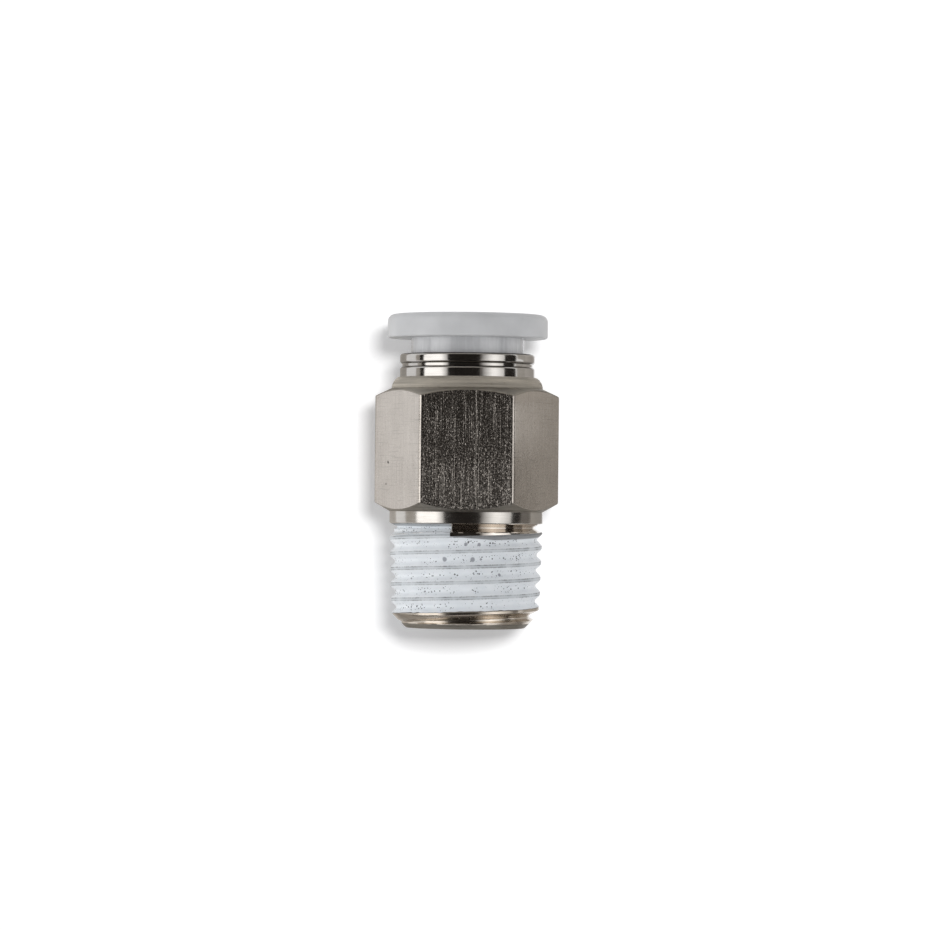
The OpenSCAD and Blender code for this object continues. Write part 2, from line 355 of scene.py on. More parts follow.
def noise_node(tree, where, per_mm, detail):
    """A noise of so many swells to a millimetre, where the place is in millimetres."""
    settings = {"Vector": where, "Scale": per_mm, "Detail": detail}
    return place(tree, "ShaderNodeTexNoise", settings).outputs["Fac"]


def spread(tree, value, first, last, low=0.0, high=1.0):
    """A value from low to high while another goes from first to last."""
    ends = {0: value, 1: first, 2: last, 3: low, 4: high}
    return place(tree, "ShaderNodeMapRange", ends).outputs[0]


# Rings left by the cutting tool: they run round the axis and change with height and radius
turning, given, out = new_group(
    "Turning marks",
    [("Per mm", "NodeSocketFloat", 9.0), ("Wander", "NodeSocketFloat", 0.4)],
    [("Height", "NodeSocketFloat"), ("Tone", "NodeSocketFloat")],
)
x, y, z = place(turning, "ShaderNodeSeparateXYZ", {0: millimetres(turning)}).outputs
x_square = math_node(turning, "MULTIPLY", x, x)
y_square = math_node(turning, "MULTIPLY", y, y)
radius = math_node(turning, "SQRT", math_node(turning, "ADD", x_square, y_square))
across = math_node(turning, "ADD", z, radius)
ringed = place(turning, "ShaderNodeCombineXYZ", {
    0: math_node(turning, "MULTIPLY", across, given["Per mm"]),
    1: math_node(turning, "MULTIPLY", x, given["Wander"]),
    2: math_node(turning, "MULTIPLY", y, given["Wander"]),
}).outputs[0]
lines = noise_node(turning, ringed, 1.0, 3.0)
turning.links.new(lines, out["Height"])
turning.links.new(spread(turning, lines, 0.3, 0.7), out["Tone"])

# Handling marks and stains on plated metal: soft clouds with small dull spots
handling, given, out = new_group(
    "Handling marks",
    [("Cloud per mm", "NodeSocketFloat", 0.5), ("Spot per mm", "NodeSocketFloat", 3.0)],
    [("Cloud", "NodeSocketFloat"), ("Spots", "NodeSocketFloat")],
)
in_mm = millimetres(handling)
cloud = noise_node(handling, in_mm, given["Cloud per mm"], 4.0)
handling.links.new(spread(handling, cloud, 0.3, 0.7), out["Cloud"])
spots = noise_node(handling, in_mm, given["Spot per mm"], 2.0)
handling.links.new(spread(handling, spots, 0.62, 0.72), out["Spots"])


def bumped(tree, height, depth_um, strength=1.0):
    """The normal of a surface that a height raises by so many micrometres."""
    settings = {"Height": height, "Strength": strength, "Distance": depth_um * 1e-6}
    return place(tree, "ShaderNodeBump", settings).outputs[0]


def turned_metal(name, dark, light, roughness, per_mm, depth_um, ring_share=0.5, wander=0.4):
    """Plated metal with rings from turning, its colours, its span of roughness and the rings' depth."""
    material, tree, shader = new_material(name, Metallic=1.0)
    rings = place(
        tree, "ShaderNodeGroup", {"Per mm": per_mm, "Wander": wander}, node_tree=turning
    ).outputs
    marks = place(tree, "ShaderNodeGroup", node_tree=handling).outputs
    ringed = math_node(tree, "MULTIPLY", rings["Tone"], ring_share)
    clouded = math_node(tree, "MULTIPLY", marks["Cloud"], 1 - ring_share)
    blend = math_node(tree, "ADD", ringed, clouded)
    tree.links.new(tone(tree, blend, dark, light), shader.inputs["Base Color"])
    dull = math_node(tree, "MAXIMUM", marks["Spots"], math_node(tree, "MULTIPLY", rings["Tone"], 0.6))
    tree.links.new(spread(tree, dull, 0, 1, *roughness), shader.inputs["Roughness"])
    tree.links.new(bumped(tree, rings["Height"], depth_um), shader.inputs["Normal"])
    return material


# Flats of the bar: streaks along it, dull scratches, and a fine grain whose facets sparkle
drawn_nickel, tree, shader = new_material("drawn_nickel", Metallic=1.0)
in_mm = millimetres(tree)
flat_marks = {"Cloud per mm": 0.35, "Spot per mm": 2.2}
marks = place(tree, "ShaderNodeGroup", flat_marks, node_tree=handling).outputs


def vector_node(tree, operation, first, second):
    """One operation on two vectors."""
    return place(tree, "ShaderNodeVectorMath", {0: first, 1: second}, operation=operation).outputs[0]


def stretched(tree, per_mm, across_to_along):
    """The place on the piece in cells, so many to a millimetre across the axis and others along it."""
    return vector_node(tree, "MULTIPLY", millimetres(tree), (per_mm, per_mm, per_mm * across_to_along))


x, y, z = place(tree, "ShaderNodeSeparateXYZ", {0: in_mm}).outputs
front_reach = 0.5
flat_half = (flat_r - corner_round) * math.tan(math.pi / 6)
between = math_node(tree, "LESS_THAN", math_node(tree, "ABSOLUTE", x), flat_half)
near_front = math_node(tree, "LESS_THAN", y, front_reach - flat_r)
on_front = math_node(tree, "MULTIPLY", near_front, between)
streaks = noise_node(tree, stretched(tree, 11, 0.03), 1.0, 4.0)
grit = noise_node(tree, stretched(tree, 10, 0.6), 1.0, 2.0)
scores = noise_node(tree, stretched(tree, 13, 0.015), 1.0, 1.0)
scored = math_node(tree, "MULTIPLY", spread(tree, scores, 0.54, 0.68, 0, 0.6), on_front)
grain = place(tree, "ShaderNodeTexVoronoi", {"Vector": stretched(tree, 25, 0.5), "Scale": 1.0})
lean = vector_node(tree, "SUBTRACT", grain.outputs["Color"], (0.5, 0.5, 0.5))
cube = vector_node(tree, "MULTIPLY", vector_node(tree, "MULTIPLY", lean, lean), lean)
# The front flat is worn more towards its lower end: its facets lean further and it is duller
worn_from_z = 20.0
worn_to_z = 12.0
worn = spread(tree, z, worn_from_z, worn_to_z, 1.75, 2.4)
dulled = spread(tree, z, worn_from_z, worn_to_z, 0, 0.05)
grained = spread(tree, on_front, 0, 1, 0.4, worn)
tilt = place(tree, "ShaderNodeVectorMath", {0: cube, "Scale": grained}, operation="SCALE").outputs[0]
leaned = vector_node(tree, "ADD", bumped(tree, streaks, 12), tilt)
clouded = math_node(tree, "MULTIPLY", marks["Cloud"], 0.4)
mix = math_node(tree, "ADD", spread(tree, streaks, 0.3, 0.7, 0, 0.6), clouded)
colour = tone(tree, mix, (0.43, 0.395, 0.36), (0.57, 0.53, 0.487))
gritty = spread(tree, grit, 0.4, 0.7, 0.17, 0.29)
# Long scratches on the front flat, each by its place across the flat and its two ends
scratches = [(0.79, 11.0, 21.0), (-1.05, 10.8, 15.2), (1.9, 10.9, 13.6), (-2.6, 11.5, 14.0)]
scratch_half = 0.03
scratch_lean = 0.3
for across, low, high in scratches:
    off = math_node(tree, "ABSOLUTE", math_node(tree, "SUBTRACT", x, across))
    past_low = math_node(tree, "GREATER_THAN", z, low)
    along = math_node(tree, "MULTIPLY", past_low, math_node(tree, "LESS_THAN", z, high))
    line = spread(tree, off, scratch_half, 0)
    line = math_node(tree, "MULTIPLY", line, math_node(tree, "MULTIPLY", along, on_front))
    scored = math_node(tree, "MAXIMUM", scored, line)
rough = math_node(tree, "ADD", gritty, math_node(tree, "MULTIPLY", scored, 0.1))
tree.links.new(math_node(tree, "ADD", rough, dulled), shader.inputs["Roughness"])
sideways = math_node(tree, "MULTIPLY", scored, scratch_lean)
leaned = vector_node(tree, "ADD", leaned, place(tree, "ShaderNodeCombineXYZ", {0: sideways}).outputs[0])
unit = place(tree, "ShaderNodeVectorMath", {0: leaned}, operation="NORMALIZE").outputs[0]
tree.links.new(unit, shader.inputs["Normal"])


def stain(tree, mask, under, spot):
    """A colour with spots of another where a mask is one."""
    mixed = place(tree, "ShaderNodeMix", {"Factor": mask, "A": under, "B": (*spot, 1)}, data_type="RGBA")
    return mixed.outputs["Result"]


# Nicks on the left flat, each by its place and radius, and hairlines across the bar
hairs = noise_node(tree, stretched(tree, 0.4, 40), 1.0, 1.0)
colour = stain(tree, spread(tree, hairs, 0.6, 0.7, 0, 0.7), colour, (0.38, 0.355, 0.325))
nicks = [(-6.84, -2.15, 14.4, 0.12), (-6.78, -2.26, 14.35, 0.08), (-7.0, -1.88, 12.5, 0.09)]
for *middle, nick_r in nicks:
    far = place(tree, "ShaderNodeVectorMath", {0: in_mm, 1: middle}, operation="DISTANCE")
    nick = spread(tree, far.outputs["Value"], nick_r * 1.3, nick_r * 0.7)
    colour = stain(tree, nick, colour, (0.1, 0.09, 0.08))
tree.links.new(colour, shader.inputs["Base Color"])

bright_nickel = turned_metal(
    "bright_nickel", (0.46, 0.44, 0.41), (0.60, 0.58, 0.55), (0.13, 0.21), 9.0, 1.0
)
matt_nickel = turned_metal(
    "matt_nickel", (0.22, 0.203, 0.178), (0.42, 0.392, 0.345), (0.44, 0.58), 3.2, 30.0, 0.8
)
ridged_nickel = turned_metal(
    "ridged_nickel", (0.33, 0.308, 0.272), (0.74, 0.70, 0.63), (0.72, 0.9), 5.5, 20.0, 0.85, 0.1
)
thread_nickel = turned_metal(
    "thread_nickel", (0.39, 0.345, 0.29), (0.78, 0.71, 0.625), (0.17, 0.31), 9.0, 3.0
)
bore_nickel = turned_metal("bore_nickel", (0.42, 0.39, 0.35), (0.55, 0.51, 0.46), (0.2, 0.35), 8.0, 3.0)
# The relief has the collar's plating but a lighter colour: painted light for light bounced round its
# groove
relief_nickel = turned_metal(
    "relief_nickel", (0.66, 0.618, 0.57), (0.87, 0.822, 0.763), (0.06, 0.12), 9.0, 1.0
)
body_finishes = (
    thread_nickel, bright_nickel, matt_nickel, drawn_nickel, bore_nickel, ridged_nickel, relief_nickel,
)
for material in body_finishes:
    turned_body.data.materials.append(material)
turned_body.data.polygons.foreach_set("material_index", finishes)

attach(turned_body, "fitting_body")
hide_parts("body")

# Sealant: a white coat that is run wet into the thread in the factory and dries to a tough film.
# It fills the roots, thins out over the crests so that the metal greys it, and is full of pin holes.
# It starts on the first full turn and stops short of the thread's last turn with a square end.
coat_steps = 240
coat_rows = 18
coat_first = round(0.25 * coat_steps)
coat_last = round(5.7147 * coat_steps)
coat_top = 9.08
coat_depth = 0.43
coat_crest = 0.08
coat_film = 0.03
least_film = 0.006
coat_sink = 0.02
lumps_per_mm = 1.6
lump_high = 0.014
ripples_per_lump = 2.7
ripple_high = 0.008
top_wave_high = 0.02
top_waves_per_turn = 9
coat_start = 0.13
edge_wave_high = 0.05
edge_waves_per_turn = 14
crumbs_per_turn = 90


def coat_point(turn, share):
    """A point on the coat at a number of turns and a share of the way from crest to crest."""
    z = crest_start + (turn + share) * thread_pitch
    angle = TURN * turn
    flat = Vector((math.cos(angle), math.sin(angle), 0))
    up = Vector((0, 0, z))
    seed = (flat * gauge_r + up) * lumps_per_mm
    lump = noise.noise(seed) * lump_high + noise.noise(seed * ripples_per_lump) * ripple_high
    metal = float(thread_surface(np.array(angle), np.array(z)))
    off_crest = (0.5 - abs(share % 1 - 0.5)) * thread_pitch
    down = max(0, off_crest - coat_crest) / (thread_pitch / 2 - coat_crest)
    sink = coat_depth * (1 - math.cos(math.pi * down)) / 2
    r = min(crest_r(z) - sink, blank_r(z)) + coat_film + lump
    return flat * max(r, metal + least_film) + up, flat * (metal - coat_sink) + up


def first_edge(turn):
    """Where the coat's lower edge runs on the first turn, wavy and crumbled, as a share of the pitch."""
    wave = noise.noise(Vector((3, 0, turn * edge_waves_per_turn)))
    crumb = noise.noise(Vector((5, 0, turn * crumbs_per_turn)))
    return coat_start + edge_wave_high * (wave + crumb)


coat_index = {}
front = []
back = []
for step in range(coat_first, coat_last + 1):
    turn = step / coat_steps
    top_wave = top_wave_high * noise.noise(Vector((0, 0, turn * top_waves_per_turn)))
    reach = min(1, (coat_top + top_wave - crest_start) / thread_pitch - turn)
    first_turn = step < coat_first + coat_steps
    start = first_edge(turn) if first_turn else 0
    for row in range(coat_rows + 1):
        if row == coat_rows and step + coat_steps <= coat_last:
            continue
        share = reach * row / coat_rows + start * (1 - row / coat_rows)
        outer, inner = coat_point(turn, share)
        coat_index[step, row] = len(front)
        front.append(outer)
        back.append(inner)
for step in range(coat_first, coat_last + 1 - coat_steps):
    coat_index[step, coat_rows] = coat_index[step + coat_steps, 0]


def closed_shell(front, back, faces):
    """Points and faces of a shell: a front, a back of the same layout, and walls on the free edges."""
    count = len(front)
    free = {}
    for face in faces:
        for a, b in zip(face, [*face[1:], face[0]]):
            if (b, a) in free:
                del free[b, a]
            else:
                free[a, b] = True
    rear = [[p + count for p in reversed(face)] for face in faces]
    walls = [[b, a, a + count, b + count] for a, b in free]
    return [*front, *back], [*faces, *rear, *walls]


coat_faces = [
    [coat_index[s, r], coat_index[s + 1, r], coat_index[s + 1, r + 1], coat_index[s, r + 1]]
    for s in range(coat_first, coat_last)
    for r in range(coat_rows)
]
sealant_coat = make_piece("sealant_coat", *closed_shell(front, back, coat_faces), sharp_angle=60)

# How many turns up the helix a place is, how far above its nearest crest and off its root as shares
# of the pitch, and the place on the unrolled thread in millimetres
helix_place, _, out = new_group(
    "Place on the helix",
    [],
    [("Turns", "NodeSocketFloat"), ("Above crest", "NodeSocketFloat"), ("From root", "NodeSocketFloat"),
     ("Unrolled", "NodeSocketVector")],
)
x, y, height = place(helix_place, "ShaderNodeSeparateXYZ", {0: millimetres(helix_place)}).outputs
around = math_node(helix_place, "DIVIDE", math_node(helix_place, "ARCTAN2", y, x), TURN)
along = math_node(helix_place, "SUBTRACT", height, crest_start)
along = math_node(helix_place, "DIVIDE", along, thread_pitch)
phase = math_node(helix_place, "SUBTRACT", along, around)
past_root = math_node(helix_place, "FRACT", math_node(helix_place, "ADD", phase, 0.5))
above = math_node(helix_place, "SUBTRACT", past_root, 0.5)
from_root = math_node(helix_place, "SUBTRACT", 0.5, math_node(helix_place, "ABSOLUTE", above))
helix_place.links.new(phase, out["Turns"])
helix_place.links.new(above, out["Above crest"])
helix_place.links.new(from_root, out["From root"])
unrolled = place(helix_place, "ShaderNodeCombineXYZ", {
    0: math_node(helix_place, "MULTIPLY", around, TURN * gauge_r),
    1: height,
})
helix_place.links.new(unrolled.outputs[0], out["Unrolled"])

dried_sealant, tree, shader = new_material("dried_sealant", Roughness=0.42)
in_mm = millimetres(tree)
helix_at = place(tree, "ShaderNodeGroup", node_tree=helix_place).outputs
cloud = noise_node(tree, in_mm, 0.9, 4.0)
colour = tone(tree, cloud, (0.74, 0.782, 0.815), (0.93, 0.953, 0.97))
# The coat is thinner and greyer on the crests, and thin under the bare crest of the last turn
film_and_shade_grey = (0.36, 0.39, 0.41)
crest_edge = thread_flat / 2 / thread_pitch
fade_out = 0.04
off = math_node(tree, "ABSOLUTE", helix_at["Above crest"])
wide = noise_node(tree, in_mm, 0.7, 4.0)
rubbed = spread(tree, wide, 0.38, 0.64, 0.38, 0.66)
colour = stain(tree, spread(tree, off, crest_edge + fade_out, crest_edge, 0, rubbed), colour, film_and_shade_grey)
unrolled_x, unrolled_z, _ = place(tree, "ShaderNodeSeparateXYZ", {0: helix_at["Unrolled"]}).outputs
cut_x = (coat_last / coat_steps - 6) * TURN * gauge_r
late_len = 4
late = spread(tree, unrolled_x, cut_x, cut_x + late_len, 0.3, 0)
into_turn = math_node(tree, "SUBTRACT", helix_at["Turns"], late)
last_turn = math_node(tree, "GREATER_THAN", unrolled_x, cut_x)
thin = spread(tree, into_turn, 5.64, 5.7, 0, 0.9)
colour = stain(tree, math_node(tree, "MULTIPLY", thin, last_turn), colour, (0.2, 0.2, 0.2))
# Painted shade greys it above its last crest, and where it runs out under the collar
rising = spread(tree, helix_at["Turns"], 6.4, 6.13, 0, 0.8)
past_crest = spread(tree, helix_at["Turns"], 6.02, 6.09)
before_cut = math_node(tree, "LESS_THAN", unrolled_x, cut_x)
before_cut = math_node(tree, "MULTIPLY", spread(tree, unrolled_x, -20, -17), before_cut)
shaded_above_crest = math_node(tree, "MULTIPLY", math_node(tree, "MULTIPLY", rising, past_crest), before_cut)
colour = stain(tree, shaded_above_crest, colour, film_and_shade_grey)
# Painted shade under the collar, where the coat runs out
run_out_z = 8.84
run_out_len = 0.08
run_out = spread(tree, unrolled_z, run_out_z, run_out_z + run_out_len, 0, 0.85)
colour = stain(tree, run_out, colour, (0.3, 0.32, 0.335))
# Metal shows faintly along both edges of each crest
ragged = noise_node(tree, in_mm, 6.0, 3.0)
half_line = spread(tree, ragged, 0.34, 0.7, 0.008, 0.064)
faint = spread(tree, wide, 0.4, 0.6, 0.3, 1)
for edge_at, strength in ((crest_edge, 1.0), (-crest_edge, 0.85)):
    off = math_node(tree, "ABSOLUTE", math_node(tree, "SUBTRACT", helix_at["Above crest"], edge_at))
    line = math_node(tree, "MULTIPLY", spread(tree, off, half_line, 0), faint)
    colour = stain(tree, math_node(tree, "MULTIPLY", line, strength), colour, (0.09, 0.095, 0.1))
# Pin holes, most of them near the root
near_root = spread(tree, helix_at["From root"], 0.46, 0.12)
patchy = spread(tree, noise_node(tree, in_mm, 0.8, 2.0), 0.42, 0.54, 0.4, 1)
holes = place(tree, "ShaderNodeTexVoronoi", {"Vector": in_mm, "Scale": 4.3}).outputs
chance = place(tree, "ShaderNodeSeparateXYZ", {0: holes["Color"]}).outputs[0]
hole_size = spread(tree, chance, 0.3, 1, 0.2, 0.36)
hole_r = math_node(tree, "MULTIPLY", math_node(tree, "MULTIPLY", near_root, patchy), hole_size)
pin = math_node(tree, "LESS_THAN", holes["Distance"], hole_r)
colour = stain(tree, math_node(tree, "MULTIPLY", pin, 0.9), colour, (0.04, 0.04, 0.05))
# Burst bubbles: larger grey dots, each by its angle in degrees from the front, height and radius
bubbles = [
    (0, 7.37, 0.15), (10.5, 7.35, 0.15), (-17, 6.06, 0.2),
    (5.5, 6.06, 0.2), (28, 4.74, 0.14), (12, 6.08, 0.1),
]
front_turn = -0.25
for degrees, z, bubble_r in bubbles:
    middle = ((front_turn + degrees / 360) * TURN * gauge_r, z, 0)
    far = place(tree, "ShaderNodeVectorMath", {0: helix_at["Unrolled"], 1: middle}, operation="DISTANCE")
    disc = spread(tree, far.outputs["Value"], bubble_r * 1.2, bubble_r * 0.8, 0, 0.8)
    colour = stain(tree, disc, colour, (0.24, 0.245, 0.28))
tree.links.new(colour, shader.inputs["Base Color"])
skin = noise_node(tree, in_mm, 7.0, 3.0)
sunk = math_node(tree, "SUBTRACT", skin, pin)
tree.links.new(bumped(tree, sunk, 12, 0.6), shader.inputs["Normal"])
sealant_coat.data.materials.append(dried_sealant)

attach(sealant_coat, "fitting_body")
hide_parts("thread_sealant")

# Tube seal: a lip ring of black nitrile rubber, moulded in one shot. It lies in the gland of the
# body, and its lip grips the tube.


def cad_finish(node_name, material, sharp_angle=30):
    """A carried-over CAD node gets a material and smooth shading."""
    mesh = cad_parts[node_name].data
    mesh.materials.clear()
    mesh.materials.append(material)
    mesh.shade_smooth()
    mesh.set_sharp_from_angle(angle=math.radians(sharp_angle))


# Moulded grain: a cloudy tone and a fine uneven skin
moulded, given, out = new_group(
    "Moulded grain",
    [("Cloud per mm", "NodeSocketFloat", 0.4), ("Grain per mm", "NodeSocketFloat", 14.0)],
    [("Cloud", "NodeSocketFloat"), ("Grain", "NodeSocketFloat")],
)
in_mm = millimetres(moulded)
cloud = noise_node(moulded, in_mm, given["Cloud per mm"], 3.0)
moulded.links.new(spread(moulded, cloud, 0.3, 0.7), out["Cloud"])
moulded.links.new(noise_node(moulded, in_mm, given["Grain per mm"], 3.0), out["Grain"])


def moulded_material(name, dark, light, roughness, grain_um):
    """Moulded plastic or rubber, with its colours, its span of roughness and the depth of its grain."""
    material, tree, shader = new_material(name)
    skin = place(tree, "ShaderNodeGroup", node_tree=moulded).outputs
    tree.links.new(tone(tree, skin["Cloud"], dark, light), shader.inputs["Base Color"])
    tree.links.new(spread(tree, skin["Grain"], 0, 1, *roughness), shader.inputs["Roughness"])
    tree.links.new(bumped(tree, skin["Grain"], grain_um), shader.inputs["Normal"])
    return material


nitrile = moulded_material("nitrile", (0.018, 0.018, 0.02), (0.035, 0.035, 0.038), (0.4, 0.6), 3)
cad_finish("tube_seal", nitrile)

# Backup ring: a plain ring of off-white acetal above the seal, which keeps it in the gland and
# carries the claws. It is moulded and drops into the chamber.
acetal = moulded_material("acetal", (0.60, 0.60, 0.57), (0.70, 0.70, 0.67), (0.3, 0.45), 2)
cad_finish("seal_backup_ring", acetal)

# Chuck: a ring of spring steel sheet, blanked and pressed, with ten claws that slope in and down.
# It is held between the backup ring and the guide ring, and the collet pushes its claws open.
chuck_high = span("chuck")[1]
claw_count = 10
claw_gap = 0.5
claw_t = 0.3
claw_slope = math.radians(40)
claw_root_r = 4.9
claw_tip_r = 3.85
rim_r = chuck_high.x
rim_step = 0.3
bend_len = 0.12
claw_columns = 10
bend_z = chuck_high.z
front = []
back = []
claw_faces = []
stations = [rim_r, rim_r - rim_step, claw_root_r + bend_len, claw_root_r, 4.6, 4.3, 4.05, claw_tip_r]
ring_stations = 4
index = {}
for claw in range(claw_count):
    for station, r in enumerate(stations):
        half = math.pi / claw_count - math.asin(claw_gap / 2 / r)
        for column in range(claw_columns + 1):
            angle = TURN * claw / claw_count + half * (2 * column / claw_columns - 1)
            drop = max(0, claw_root_r - r) * math.tan(claw_slope)
            lean = claw_slope if r < claw_root_r else (claw_slope / 2 if r == claw_root_r else 0)
            flat = Vector((math.cos(angle), math.sin(angle), 0))
            top = flat * r + Vector((0, 0, bend_z - drop))
            index[claw, station, column] = len(front)
            front.append(top)
            back.append(top + claw_t * (flat * math.sin(lean) - Vector((0, 0, math.cos(lean)))))
for claw in range(claw_count):
    for station in range(len(stations) - 1):
        for column in range(claw_columns + 1):
            if column == claw_columns and station + 1 >= ring_stations:
                continue
            follows = (claw, column + 1) if column < claw_columns else ((claw + 1) % claw_count, 0)
            claw_faces.append([
                index[claw, station, column],
                index[follows[0], station, follows[1]],
                index[follows[0], station + 1, follows[1]],
                index[claw, station + 1, column],
            ])
spring_claws = make_piece("spring_claws", *closed_shell(front, back, claw_faces))
spring_steel = turned_metal(
    "spring_steel", (0.46, 0.46, 0.46), (0.58, 0.58, 0.57), (0.18, 0.3), 5.0, 1.0
)
spring_claws.data.materials.append(spring_steel)
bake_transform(spring_claws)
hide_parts("chuck")

# Guide ring: turned brass with bright nickel, pressed into the body's chamber. It guides the collet
# and keeps its foot, and a shallow groove runs round the part that shows.
guide_bore_r = 5.03
guide_chamber_r = 5.4
ledge_down = 1.65
ledge_z = body_top - ledge_down
groove_down = 1.07
groove_z = guide_high.z - groove_down
groove_half = 0.28
groove_floor = 0.1
groove_depth = 0.2
guide_round = 0.25
ring_drop = 0.05
ring_top = guide_high.z - ring_drop
guide_lead = 0.2


def arc(centre_r, centre_z, r, first, last, steps=8):
    """Points of an arc in a profile, from one angle in degrees to another."""
    turns = np.radians(np.linspace(first, last, steps + 1))
    return [(centre_r + r * math.cos(a), centre_z + r * math.sin(a)) for a in turns]


def lathe(name, profile, segments=192, sharp_angle=35):
    """A ring turned from a closed profile of radii and heights in millimetres."""
    ring = np.linspace(0, TURN, segments, endpoint=False)
    points = [(r * math.cos(a), r * math.sin(a), z) for r, z in profile for a in ring]
    steps = len(profile)
    faces = []
    for step in range(steps):
        here, above = step * segments, (step + 1) % steps * segments
        for i in range(segments):
            after = (i + 1) % segments
            faces.append([here + i, here + after, above + after, above + i])
    return make_piece(name, points, faces, sharp_angle)


groove_edge = 0.05
groove_break = 0.012
bore_edge = 0.08
guide_profile = [
    (guide_chamber_r, guide_low.z),
    (guide_r - guide_lead, guide_low.z),
    (guide_r, guide_low.z + guide_lead),
    (guide_r, groove_z - groove_half - groove_edge),
    (guide_r - groove_break, groove_z - groove_half),
    (guide_r - groove_depth, groove_z - groove_floor),
    (guide_r - groove_depth, groove_z + groove_floor),
    (guide_r - groove_break, groove_z + groove_half),
    (guide_r, groove_z + groove_half + groove_edge),
    *arc(guide_r - guide_round, ring_top - guide_round, guide_round, 0, 90),
    (guide_bore_r + bore_edge, ring_top),
    (guide_bore_r, ring_top - bore_edge),
    (guide_bore_r, ledge_z),
    (guide_chamber_r, ledge_z),
]
keeper_ring = lathe("keeper_ring", guide_profile)
ring_nickel = turned_metal(
    "ring_nickel", (0.44, 0.424, 0.402), (0.555, 0.538, 0.515), (0.09, 0.15), 9.0, 1.0
)
# Painted shade lies along the groove's two walls and under the top edge, each line by its height and
# half width
shade_line_off = 0.2
shade_lines = [(groove_z - shade_line_off, 0.07), (groove_z + shade_line_off, 0.07), (ring_top, 0.13)]
tree = ring_nickel.node_tree
shader = tree.nodes["Principled BSDF"]
unshaded = shader.inputs["Base Color"].links[0].from_socket
height = place(tree, "ShaderNodeSeparateXYZ", {0: millimetres(tree)}).outputs["Z"]
painted_shade = 0.0
for line_z, half in shade_lines:
    off = math_node(tree, "ABSOLUTE", math_node(tree, "SUBTRACT", height, line_z))
    painted_shade = math_node(tree, "MAXIMUM", spread(tree, off, half, half / 2, 0, 0.85), painted_shade)
tree.links.new(stain(tree, painted_shade, unshaded, (0.05, 0.042, 0.035)), shader.inputs["Base Color"])
keeper_ring.data.materials.append(ring_nickel)
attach(keeper_ring, "fitting_body")
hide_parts("guide_ring")

# Collet: a glossy sleeve of white acetal with six slotted fingers, moulded in one piece. Its foot
# snaps under the guide ring's ledge, so it slides but stays in, and its nose opens the claws.
glossy_acetal, tree, shader = new_material("glossy_acetal", Specular_IOR_Level=0.75)
skin = place(tree, "ShaderNodeGroup", node_tree=moulded).outputs
flow = noise_node(tree, stretched(tree, 4.5, 1 / 15), 1.0, 3.0)
flowed = math_node(tree, "MULTIPLY", flow, 0.6)
mix = math_node(tree, "ADD", flowed, math_node(tree, "MULTIPLY", skin["Cloud"], 0.4))
tree.links.new(tone(tree, mix, (0.478, 0.484, 0.494), (0.79, 0.796, 0.806)), shader.inputs["Base Color"])
tree.links.new(spread(tree, flow, 0.3, 0.7, 0.13, 0.28), shader.inputs["Roughness"])
tree.links.new(bumped(tree, flow, 18), shader.inputs["Normal"])
cad_finish("collet", glossy_acetal)

# Release button: a satin flange of light grey acetal that snaps over the collet's top bead and turns
# on it. Pressing it pushes the collet down on the claws.
button_low, button_high = span("release_button")
flange_r = button_high.x
ride_r = 5.0
rim_bore_r = 4.2
entry_chamfer = 0.45
flange_round = 0.22
upper_round = 0.6
low_drop = 0.08
top_drop = 0.16
flange_low = button_low.z - low_drop
flange_top = button_high.z - top_drop
cap_play = 0.05
bead_down = 0.6
cap_z = span("collet")[1].z + cap_play
bead_z = span("collet")[1].z - bead_down
ride_edge = 0.06
entry_out = 0.05
entry_in = 0.03
snap_half = 0.3
snap_depth = 0.12
snap_up = 0.05
snap_down = 0.175
button_profile = [
    (ride_r, flange_low + ride_edge),
    (ride_r + ride_edge, flange_low),
    *arc(flange_r - flange_round, flange_low + flange_round, flange_round, -90, 0),
    *arc(flange_r - upper_round, flange_top - upper_round, upper_round, 0, 90),
    (rim_bore_r + entry_chamfer + entry_out, flange_top),
    (rim_bore_r + entry_chamfer, flange_top - entry_in),
    (rim_bore_r + entry_in, flange_top - entry_chamfer),
    (rim_bore_r, flange_top - entry_chamfer - entry_out),
    (rim_bore_r, cap_z),
    (ride_r, cap_z),
    (ride_r, bead_z + snap_half),
    (ride_r + snap_depth, bead_z + snap_up),
    (ride_r + snap_depth, bead_z - snap_down),
    (ride_r, bead_z - snap_half),
]
push_button = lathe("push_button", button_profile)
push_button.data.materials.append(
    moulded_material("satin_acetal", (0.558, 0.564, 0.569), (0.628, 0.634, 0.639), (0.36, 0.46), 1.5)
)
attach(push_button, "button")
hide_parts("release_button")

# Paper: the sheet that the fitting lies on, seen from above. It is white in the camera and in
# reflections, keeps the shadow, and lets views from behind through.
paper_play = 0.02
paper_y = flat_r + paper_play
paper_half = 400
paper_glow = 0.24


def stage_sheet(name, corners, material):
    """A flat or bent sheet of the set from pairs of corners in millimetres."""
    count = len(corners) // 2
    faces = [[2 * i, 2 * i + 2, 2 * i + 3, 2 * i + 1] for i in range(count - 1)]
    sheet = make_piece(name, corners, faces)
    sheet.data.materials.append(material)
    return sheet


def seen_white(tree):
    """One for rays from the camera, from mirrors and through glass, and nothing for other light."""
    ray = place(tree, "ShaderNodeLightPath").outputs
    mirrored = math_node(tree, "MAXIMUM", ray["Is Glossy Ray"], ray["Is Transmission Ray"])
    return math_node(tree, "MAXIMUM", ray["Is Camera Ray"], mirrored)


